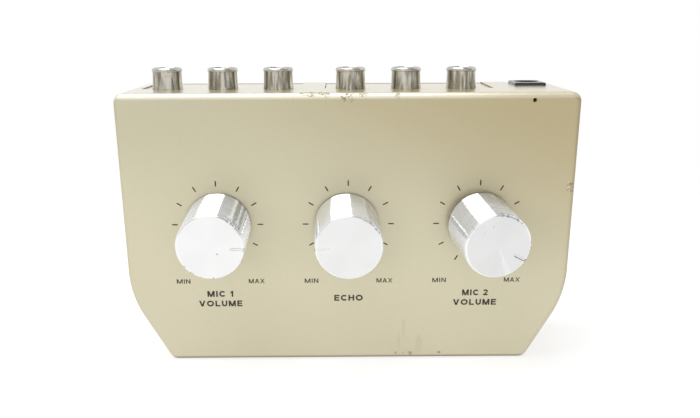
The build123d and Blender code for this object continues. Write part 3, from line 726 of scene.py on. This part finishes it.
# ---- Knobs: aluminium skins turned on a lathe, pressed over plastic hubs ----
# Each skin is a cup of solid aluminium. Its side is turned bright, its face is spun with fine
# rings, its rim is cut at a bevel and dented by use, and a line for a pointer is milled in the
# face. The knobs are pushed on by hand and sit a little askew, the third one by about 8 degrees.
knob_radius = 0.00875
knob_reach = 0.0181
skin_bore = 0.00785
skin_floor = 0.0169
rim_bevel = 0.00045
pointer_start = 0.005
pointer_width = 0.0008
pointer_depth = 0.00022
groove_wall = 0.0002
groove_ramp = 0.0003
dent_height = 0.0006
foot_shade = 0.00045
pointer_angles = (-5.0, 183.0, -30.0)
hub_recess_radius = 0.0066
hub_recess_end = 0.0058
hub_facets = 64
side_steps, face_steps = 12, 64
pointer_turns = np.linspace(-7.0, 7.0, 57)
plain_turns = np.linspace(8.5, 351.5, 229)
# How each knob sits: its foot's shift across and up, its lean across and up, its foot's gap
knob_seats = (
    (0.00033, 0.00021, 0.002, 0.0075, 0.00035),
    (-0.00048, 0.00007, 0.0294, 0.0, 0.0004),
    (-0.0002, 0.0006, 0.145, -0.03, 0.00134),
)
# Painted light and shade: how bright each knob's side and face are made, and how dark the two walls
# of its pointer groove are painted; below 0 a wall is brightened as a painted highlight
knob_painted_tones = ((0.93, 0.94, 0.8, 0.3), (0.93, 0.88, 0.55, 0.2), (0.8, 0.82, -1.0, 0.8))
# How far the walls of the turning rings on each side slope, least and most
ring_slopes = ((0.3, 1.2), (0.2, 0.85), (0.2, 0.85))
# Dents in the rim: where they are and how wide in degrees, how deep in millimetres, and how dark
# they are painted as shade; below 0 a dent is brightened as a painted glint
rim_dents = (
    (
        (54, 3.4, 0.3, -0.4),
        (48, 1.6, 0.05, 0.5),
        (38, 2.4, 0.2, -0.4),
        (218, 2.5, 0.1, 0.4),
        (235, 4.0, 0.12, 0.35),
        (252, 2.5, 0.1, 0.2),
        (274, 1.6, 0.2, 0.6),
    ),
    ((59, 3.0, 0.25, -0.4), (38, 2.4, 0.2, -0.4), (205, 2.0, 0.08, 0.1), (300, 1.8, 0.06, 0.15)),
    (
        (86, 3.0, 0.08, 0.35),
        (76, 2.6, 0.1, 0.45),
        (64, 2.6, 0.08, -1.0),
        (57, 2.0, 0.12, 0.6),
        (49, 2.4, 0.08, -1.0),
        (4, 3.0, 0.1, 0.35),
        (-5, 2.4, 0.08, 0.3),
        (-13, 2.6, 0.08, 0.3),
        (142, 2.0, 0.08, 0.3),
    ),
)
# Painted sheen of the spun faces, fans of painted highlight and shade out from the middle: where and
# how wide in degrees, how dark
face_fans = (
    ((74, 11, 0.045), (250, 14, 0.045), (160, 20, -0.15)),
    ((98, 13, 0.03), (80, 7, -0.15), (-70, 14, 0.02), (182, 16, -0.15)),
    ((-68, 7, -0.4), (-92, 9, 0.045), (-112, 7, -0.2), (-128, 8, 0.04), (88, 14, 0.035)),
)
# Specks and nicks on the faces, in millimetres: place across and up, reach across and up, darkness;
# below 0 a nick is brightened as a painted glint
face_specks = (
    ((1.85, -1.75, 0.28, 0.16, 0.8),),
    (),
    (
        (-1.57, 5.6, 0.2, 0.2, 0.6),
        (-1.12, 6.4, 0.18, 0.15, 0.45),
        (-4.2, 5.9, 0.14, 0.3, 0.4),
        (-3.75, 4.1, 0.14, 0.26, 0.4),
        (0.78, -3.3, 0.12, 0.2, 0.5),
        (1.85, -3.15, 0.26, 0.12, 0.5),
        (0.3, -1.7, 0.1, 1.2, -0.5),
        (-0.55, -4.6, 0.1, 1.6, 0.12),
        (1.5, -4.4, 0.12, 1.5, -0.3),
    ),
)


def aluminium(name, tone, roughness, anisotropy, slopes):
    """Bright aluminium whose fine turning rings stretch its highlights along the profile. Their
    walls slope between two limits towards the end of the profile. The mesh's attribute of marks and
    painted light darkens the metal where it is above 0 and brightens it where it is below."""
    made, tree, shader = finish(name, (tone, tone, tone, 1), roughness, 1.0)
    shader.inputs["Anisotropic"].default_value = anisotropy
    tangent = wire(tree, "Tangent", direction_type="UV_MAP", uv_map="UVMap").outputs[0]
    tree.links.new(tangent, shader.inputs["Tangent"])
    along = wire(tree, "SeparateXYZ", {0: wire(tree, "UVMap", uv_map="UVMap").outputs[0]})
    rings = wire(
        tree,
        "TexNoise",
        {"W": along.outputs["X"], "Scale": 900.0, "Detail": 2.0},
        noise_dimensions="1D",
    ).outputs[0]
    ringed = span(tree, rings, 0.25, 0.75, 0.98, 1.02)
    metal = scaled(tree, (tone, tone * 1.005, tone), ringed)
    wear_and_shade = wire(tree, "Attribute", attribute_name="wear_and_shade").outputs["Fac"]
    metal = tinted(tree, span(tree, wear_and_shade, 0.0, 1.0), metal, (0.16, 0.15, 0.14, 1))
    metal = tinted(tree, span(tree, wear_and_shade, 0.0, -1.0), metal, white)
    tree.links.new(metal, shader.inputs["Base Color"])
    leaned = scaled(tree, tangent, span(tree, rings, 0.25, 0.75, *slopes))
    upright = wire(tree, "NewGeometry").outputs["Normal"]
    facet = wire(tree, "VectorMath", {0: upright, 1: leaned}).outputs[0]
    facet = wire(tree, "VectorMath", {0: facet}, operation="NORMALIZE").outputs[0]
    tree.links.new(facet, shader.inputs["Normal"])
    return made


def wear_and_shade_points(piece, amounts):
    """Writes a piece's attribute of marks and painted shade from an array with one amount for each of its
    points.
    """
    piece.data.attributes.new("wear_and_shade", "FLOAT", "POINT").data.foreach_set("value", amounts.ravel())


def skin_profile(gap):
    """A skin in section, from the middle of its inside over its side and bevel to that of its face."""
    side_heights = np.linspace(gap + 0.0008, knob_reach - rim_bevel - 0.00006, side_steps - 3)
    side_heights = np.concatenate([gap + np.array([0.00012, 0.0003, 0.00055]), side_heights])
    face_radii = np.linspace(knob_radius - rim_bevel - 0.00008, 0.0003, face_steps)
    return np.concatenate(
        [
            [(0.0, skin_floor), (skin_bore, skin_floor), (skin_bore, gap)],
            [(knob_radius - 0.0001, gap), (knob_radius, gap + 0.0001)],
            np.stack([np.full(side_steps, knob_radius), side_heights], axis=1),
            [
                (knob_radius - 0.00002, knob_reach - rim_bevel),
                (knob_radius - rim_bevel * 0.5, knob_reach - rim_bevel * 0.5 + 0.00001),
                (knob_radius - rim_bevel, knob_reach - 0.00002),
            ],
            np.stack([face_radii, np.full(face_steps, knob_reach)], axis=1),
            [(0.0, knob_reach)],
        ]
    )


def bell(distance, width, power=2):
    """1 at no distance, falling off over a width. A higher power makes a flatter top."""
    return np.exp(-((distance / width) ** power))


def degrees_off(turns, where):
    """How far turns are from a direction, in degrees."""
    return (np.degrees(turns) - where + 180) % 360 - 180


for number, middle, seat, pointer, tones, slopes, dents, fans, specks in zip(
    knob_numbers,
    control_middles,
    knob_seats,
    pointer_angles,
    knob_painted_tones,
    ring_slopes,
    rim_dents,
    face_fans,
    face_specks,
):
    shift_across, shift_up, lean_across, lean_up, gap = seat
    leaning = panel_out + panel_across * lean_across + panel_up * lean_up
    tilt = panel_out.rotation_difference(leaning.normalized())
    across, up, out = (tilt @ way for way in (panel_across, panel_up, panel_out))
    foot = panel_origin + panel_across * (middle + shift_across) + panel_up * shift_up
    turns = np.radians(np.concatenate([pointer_turns, plain_turns]) + pointer)
    radius, height = swept(skin_profile(gap), len(turns))
    # The pointer's groove: full depth inside its two walls, along which it rises smoothly
    away = turns - radians(pointer)
    forward, sideways = radius * np.cos(away), radius * np.sin(away)
    edge = np.clip((pointer_width / 2 - np.abs(sideways)) / groove_wall, 0, 1)
    start = np.clip((forward - pointer_start) / groove_ramp, 0, 1)
    on_face = height > knob_reach - rim_bevel * 1.1
    groove = pointer_depth * edge**2 * (3 - 2 * edge) * start * on_face
    # The dents: a bell curve around each place, strongest on the bevel, with their painted shade and
    # glints
    outside = radius > skin_bore + 0.0003
    near_rim = bell(height - knob_reach + rim_bevel * 0.6, dent_height) * outside
    bite, dent_painted_tone = np.zeros_like(turns), np.zeros_like(turns)
    for where, width, depth, darkness in dents:
        off = degrees_off(turns, where)
        bite += depth * 0.001 * bell(off, width)
        dent_painted_tone += darkness * bell(off, width, 4)
    # Marks and painted light: painted shade and highlight on the groove walls and dents, painted sheen
    # in fans, specks, and painted shade at the edge of the foot
    side_painted_tone, face_painted_tone, upper_wall_shade, lower_wall_shade = tones
    # Painted shade and highlight on the two walls of the pointer's groove
    wall = bell(np.abs(sideways) - pointer_width / 2 + groove_wall / 2, 0.00011)
    wear_and_shade = wall * start * on_face * np.where(sideways > 0, upper_wall_shade, lower_wall_shade)
    # Painted shade and glints on the dents
    wear_and_shade = wear_and_shade + near_rim * dent_painted_tone
    # Painted sheen: fans of painted highlight and shade on each face
    for where, width, darkness in fans:
        fan = darkness * bell(degrees_off(turns, where), width) * np.clip(radius / 0.002, 0, 1)
        wear_and_shade = wear_and_shade + fan * on_face * (radius < knob_radius - rim_bevel)
    # Painted shade along the foot of the skin, where its edge meets the gap under it
    wear_and_shade = wear_and_shade + 0.85 * bell(height - gap, foot_shade) * outside
    # Dark specks, and painted glints on nicks where the darkness is below 0
    for x, y, reach_x, reach_y, darkness in specks:
        speck = bell(radius * np.cos(turns) * 1000 - x, reach_x)
        speck = speck * bell(radius * np.sin(turns) * 1000 - y, reach_y)
        wear_and_shade = wear_and_shade + darkness * speck * on_face
    radius = radius - bite * near_rim * 0.7
    height = height - groove - bite * near_rim * 0.6
    skin = turned_piece(f"knob_skin_{number}", foot, across, up, out, radius, height, turns)
    wear_and_shade_points(skin, wear_and_shade)
    # Side and face brightness set per knob: painted light and shade on the same aluminium
    skin.data.materials.append(aluminium(f"turned_side_{number}", side_painted_tone, 0.17, 1.0, slopes))
    skin.data.materials.append(aluminium(f"cut_rim_{number}", 0.95, 0.2, 0.3, (-0.02, 0.02)))
    skin.data.materials.append(
        aluminium(f"spun_face_{number}", face_painted_tone, 0.34, 0.8, (-0.06, 0.06))
    )
    # The rows of faces before the rim are the side, the next three its bevel and the rest the face
    row_of_face = np.arange(len(skin.data.polygons)) // len(turns)
    rim_row = side_steps + 5
    finish_of_face = np.select([row_of_face < rim_row, row_of_face < rim_row + 3], [0, 1], 2)
    skin.data.polygons.foreach_set("material_index", finish_of_face.astype(np.int32))
    sealed(skin)
    skin.data.set_sharp_from_angle(angle=radians(28))
    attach(skin, f"knob_{number}")
    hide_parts(f"knob_cap_{number}")
    hub_foot, hub_radius, hub_top = gap + 0.0003, skin_bore - 0.00003, skin_floor - 0.00003
    hub_profile = [
        (0.0, hub_recess_end),
        (hub_recess_radius, hub_recess_end),
        (hub_recess_radius, hub_foot),
        (hub_radius - 0.0002, hub_foot),
        (hub_radius, hub_foot + 0.0002),
        (hub_radius, hub_top),
        (0.0, hub_top),
    ]
    radius, height = swept(hub_profile, hub_facets)
    turns = circle(hub_facets)
    hub = turned_piece(f"knob_hub_{number}", foot, across, up, out, radius, height, turns)
    hub.data.materials.append(hub_plastic)
    sealed(hub)
    hub.data.set_sharp_from_angle(angle=radians(28))
    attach(hub, f"knob_{number}")
    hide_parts(f"knob_core_{number}")

# ---- Phono sockets in the top wall ----
# Six plated brass sleeves with a rolled lip, red, white and yellow insulators, and spring
# contacts, in two black blocks of three. Years of plugs have scratched the plating.
sleeve_radius = 0.00415
sleeve_root = 0.00385
sleeve_bore = 0.0034
sleeve_foot = 0.0646
sleeve_facets = 96
sleeve_top = 0.0825
lip_top_radius = 0.0036  # where the lip's crown is highest
lip_fall = 0.0008  # from the crown down to the lip's widest place
lip_under = 0.00022  # from there down to where the lip ends
waist_radius = 0.00392  # just below the lip


def nickel(name, bright, dull, tarnish, roughness, scratch_depth):
    """Nickel plate with turning rings, upright plug scratches and a warm tarnish in patches."""
    made, tree, shader = finish(name, bright, roughness, 1.0)
    shader.inputs["Anisotropic"].default_value = 0.7
    tangent = wire(tree, "Tangent", direction_type="UV_MAP", uv_map="UVMap").outputs[0]
    tree.links.new(tangent, shader.inputs["Tangent"])
    place = own_place(tree)
    streaks = grain(tree, place, 1300, 3.0, (1, 1, 0.1))
    stains = span(tree, grain(tree, place, 420, 3.0), 0.4, 0.75)
    plate = tinted(tree, span(tree, streaks, 0.38, 0.6), bright, dull)
    tree.links.new(
        tinted(tree, times(tree, stains, 0.5), plate, tarnish), shader.inputs["Base Color"]
    )
    tree.links.new(
        span(tree, streaks, 0.3, 0.7, roughness - 0.06, roughness + 0.08), shader.inputs["Roughness"]
    )
    bumped(tree, shader, streaks, scratch_depth)
    return made


sleeve_plate = nickel(
    "sleeve_plate",
    (0.62, 0.59, 0.52, 1),
    (0.26, 0.24, 0.19, 1),
    (0.42, 0.37, 0.27, 1),
    0.22,
    0.000006,
)
# The lip's nickel is the sleeve's with fainter scratches, and lighter as a painted highlight along the
# rolled lip
lip_highlight_plate = nickel(
    "lip_highlight_plate",
    (0.62, 0.62, 0.6, 1),
    (0.5, 0.5, 0.47, 1),
    (0.48, 0.45, 0.38, 1),
    0.26,
    0.0000004,
)
# The lip in section: two quarter ellipses that meet at its crown, a short one to the bore and a
# long one out to its widest place
crown_turns = np.radians(np.concatenate([np.linspace(180, 90, 5), np.linspace(75, 0, 8)]))
crown_reach = np.where(
    crown_turns > pi / 2, lip_top_radius - sleeve_bore, sleeve_radius - lip_top_radius
)
lip_rows = np.stack(
    [
        lip_top_radius + crown_reach * np.cos(crown_turns),
        sleeve_top - lip_fall + lip_fall * np.sin(crown_turns),
    ],
    axis=1,
)
sleeve_profile = np.concatenate(
    [
        [(sleeve_bore, sleeve_foot), (sleeve_bore, sleeve_top - 0.0011)],
        lip_rows,
        [
            (sleeve_radius - 0.00006, sleeve_top - lip_fall - lip_under * 0.6),
            (waist_radius + 0.00004, sleeve_top - lip_fall - lip_under),
            (waist_radius, sleeve_top - lip_fall - lip_under - 0.0003),
            (sleeve_radius - 0.00012, case_top + 0.0012),
            (sleeve_radius, case_top + 0.0003),
            (sleeve_radius, case_top),
            (sleeve_root, case_top),
            (sleeve_root, sleeve_foot),
            (sleeve_bore, sleeve_foot),
        ],
    ]
)
for number in range(1, 7):
    low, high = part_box(f"phono_sleeve_{number}")
    foot = ((low.x + high.x) / 2, (low.y + high.y) / 2, 0.0)
    radius, height = swept(sleeve_profile, sleeve_facets)
    turns = circle(sleeve_facets)
    sleeve = turned_piece(
        f"socket_sleeve_{number}", foot, (1, 0, 0), (0, 1, 0), (0, 0, 1), radius, height, turns
    )
    sleeve.data.materials.append(sleeve_plate)
    sleeve.data.materials.append(lip_highlight_plate)
    row_of_face = np.arange(len(sleeve.data.polygons)) // sleeve_facets
    on_lip = (row_of_face >= 1) & (row_of_face < 3 + len(lip_rows))
    sleeve.data.polygons.foreach_set("material_index", on_lip.astype(np.int32))
    sealed(sleeve)
    sleeve.data.set_sharp_from_angle(angle=radians(40))
    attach(sleeve, "case")
    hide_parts(f"phono_sleeve_{number}")


def moulding(name, color, roughness):
    """A coloured socket plastic: slight colour clouds and the fine grain of the mould."""
    darker = [part * 0.8 for part in color]
    sheen = (roughness - 0.06, roughness + 0.08)
    return mottled(name, (darker, color), (600, 3.0), roughness, sheen=sheen, relief=(0.00001, 4200, 2.0))


insert_colors = (
    ("insert_red", (0.42, 0.02, 0.02), (1, 4)),
    ("insert_white", (0.8, 0.79, 0.76), (2, 5)),
    ("insert_yellow", (0.78, 0.55, 0.04), (3, 6)),
)
for name, color, places in insert_colors:
    dress(moulding(name, color, 0.42), *[f"phono_insert_{n}" for n in places])
black_plastic = moulding("black_plastic", (0.02, 0.02, 0.022), 0.38)
dress(black_plastic, "phono_block_left", "phono_block_right", "mic_jack_1", "mic_jack_2")

spring_brass = mottled(
    "spring_brass",
    ((0.55, 0.4, 0.19), (0.8, 0.6, 0.3)),
    (1300, 3.0),
    0.3,
    1.0,
    sheen=(0.22, 0.42),
)
dress(spring_brass, *[f"phono_contact_{n}" for n in range(1, 7)], "mic_contact_1", "mic_contact_2")

# ---- Power socket and lamp ----
# A moulded black barrel socket, polished by use, with a plated pin. Its top edges are chamfered
# and its hole has a lead-in. A clear lamp stands behind its pin hole.
socket_plastic = moulding("socket_plastic", (0.022, 0.022, 0.026), 0.14)
# The hole's walls are a darker, duller copy of the socket plastic: painted shade inside the hole
hole_shade_plastic = moulding("hole_shade_plastic", (0.006, 0.006, 0.008), 0.75)
hole_shade_plastic.node_tree.nodes["Principled BSDF"].inputs["Specular IOR Level"].default_value = 0.05
# The pin deep in the hole is given a near-black plate: painted shade
pin_shade_tones = ((0.03, 0.03, 0.034), (0.07, 0.07, 0.07))
pin_shade_plate = mottled("pin_shade_plate", pin_shade_tones, (1200, 2.0), 0.45, 1.0)
dress(pin_shade_plate, "power_pin")
# The clear lamp is given an opaque brown: painted shade for the lamp deep behind its hole
lamp_shade_tones = ((0.42, 0.32, 0.2), (0.6, 0.5, 0.34))
lamp_resin = mottled("lamp_resin", lamp_shade_tones, (800, 2.0), 0.22)
dress(lamp_resin, "power_lamp")
socket_facets = 128
socket_hole_radius = 0.00315
socket_hole_depth = 0.0095
socket_chamfer = 0.0003
low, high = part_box("power_socket")
pin_low, pin_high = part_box("power_pin")
socket_middle = np.array([(low.x + high.x) / 2, (low.y + high.y) / 2])
hole_middle = np.array([(pin_low.x + pin_high.x) / 2, (pin_low.y + pin_high.y) / 2])
half_size = np.array([(high.x - low.x) / 2, (high.y - low.y) / 2])
socket_turns = circle(socket_facets)
socket_ways = np.stack([np.cos(socket_turns), np.sin(socket_turns)], axis=1)


def socket_frame(inset):
    """A rounded oblong about the socket: along a way, its reach is 1 over the 24th root of the
    sum of the 24th powers of the way's parts over the half sizes."""
    shares = np.abs(socket_ways / (half_size - inset)) ** 24
    return socket_middle + socket_ways / (shares.sum(axis=1) ** (1 / 24))[:, None]


def socket_ring(radius):
    """A circle about the hole."""
    return hole_middle + radius * socket_ways


socket_rows = (
    (socket_middle + 0 * socket_ways, low.z),
    (socket_frame(0.0), low.z),
    (socket_frame(0.0), high.z - socket_chamfer),
    (socket_frame(socket_chamfer * 0.3), high.z - socket_chamfer * 0.3),
    (socket_frame(socket_chamfer), high.z),
    (socket_ring(socket_hole_radius + 0.00045), high.z),
    (socket_ring(socket_hole_radius + 0.0001), high.z - 0.00015),
    (socket_ring(socket_hole_radius), high.z - 0.0005),
    (socket_ring(socket_hole_radius), high.z - socket_hole_depth),
    (socket_ring(0.0), high.z - socket_hole_depth),
)
socket_points = np.stack(
    [np.concatenate([row, np.full((socket_facets, 1), level)], axis=1) for row, level in socket_rows]
)
power_surround = sealed(laid_surface("power_surround", socket_points, around=True))
power_surround.data.materials.append(socket_plastic)
power_surround.data.materials.append(hole_shade_plastic)
for face in power_surround.data.polygons:
    from_hole = np.hypot(*(np.array(face.center[:2]) - hole_middle))
    in_hole = from_hole < socket_hole_radius + 0.0004 and face.center.z > low.z + 0.001
    face.material_index = int(in_hole)
power_surround.data.set_sharp_from_angle(angle=radians(35))
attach(power_surround, "case")
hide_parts("power_socket")
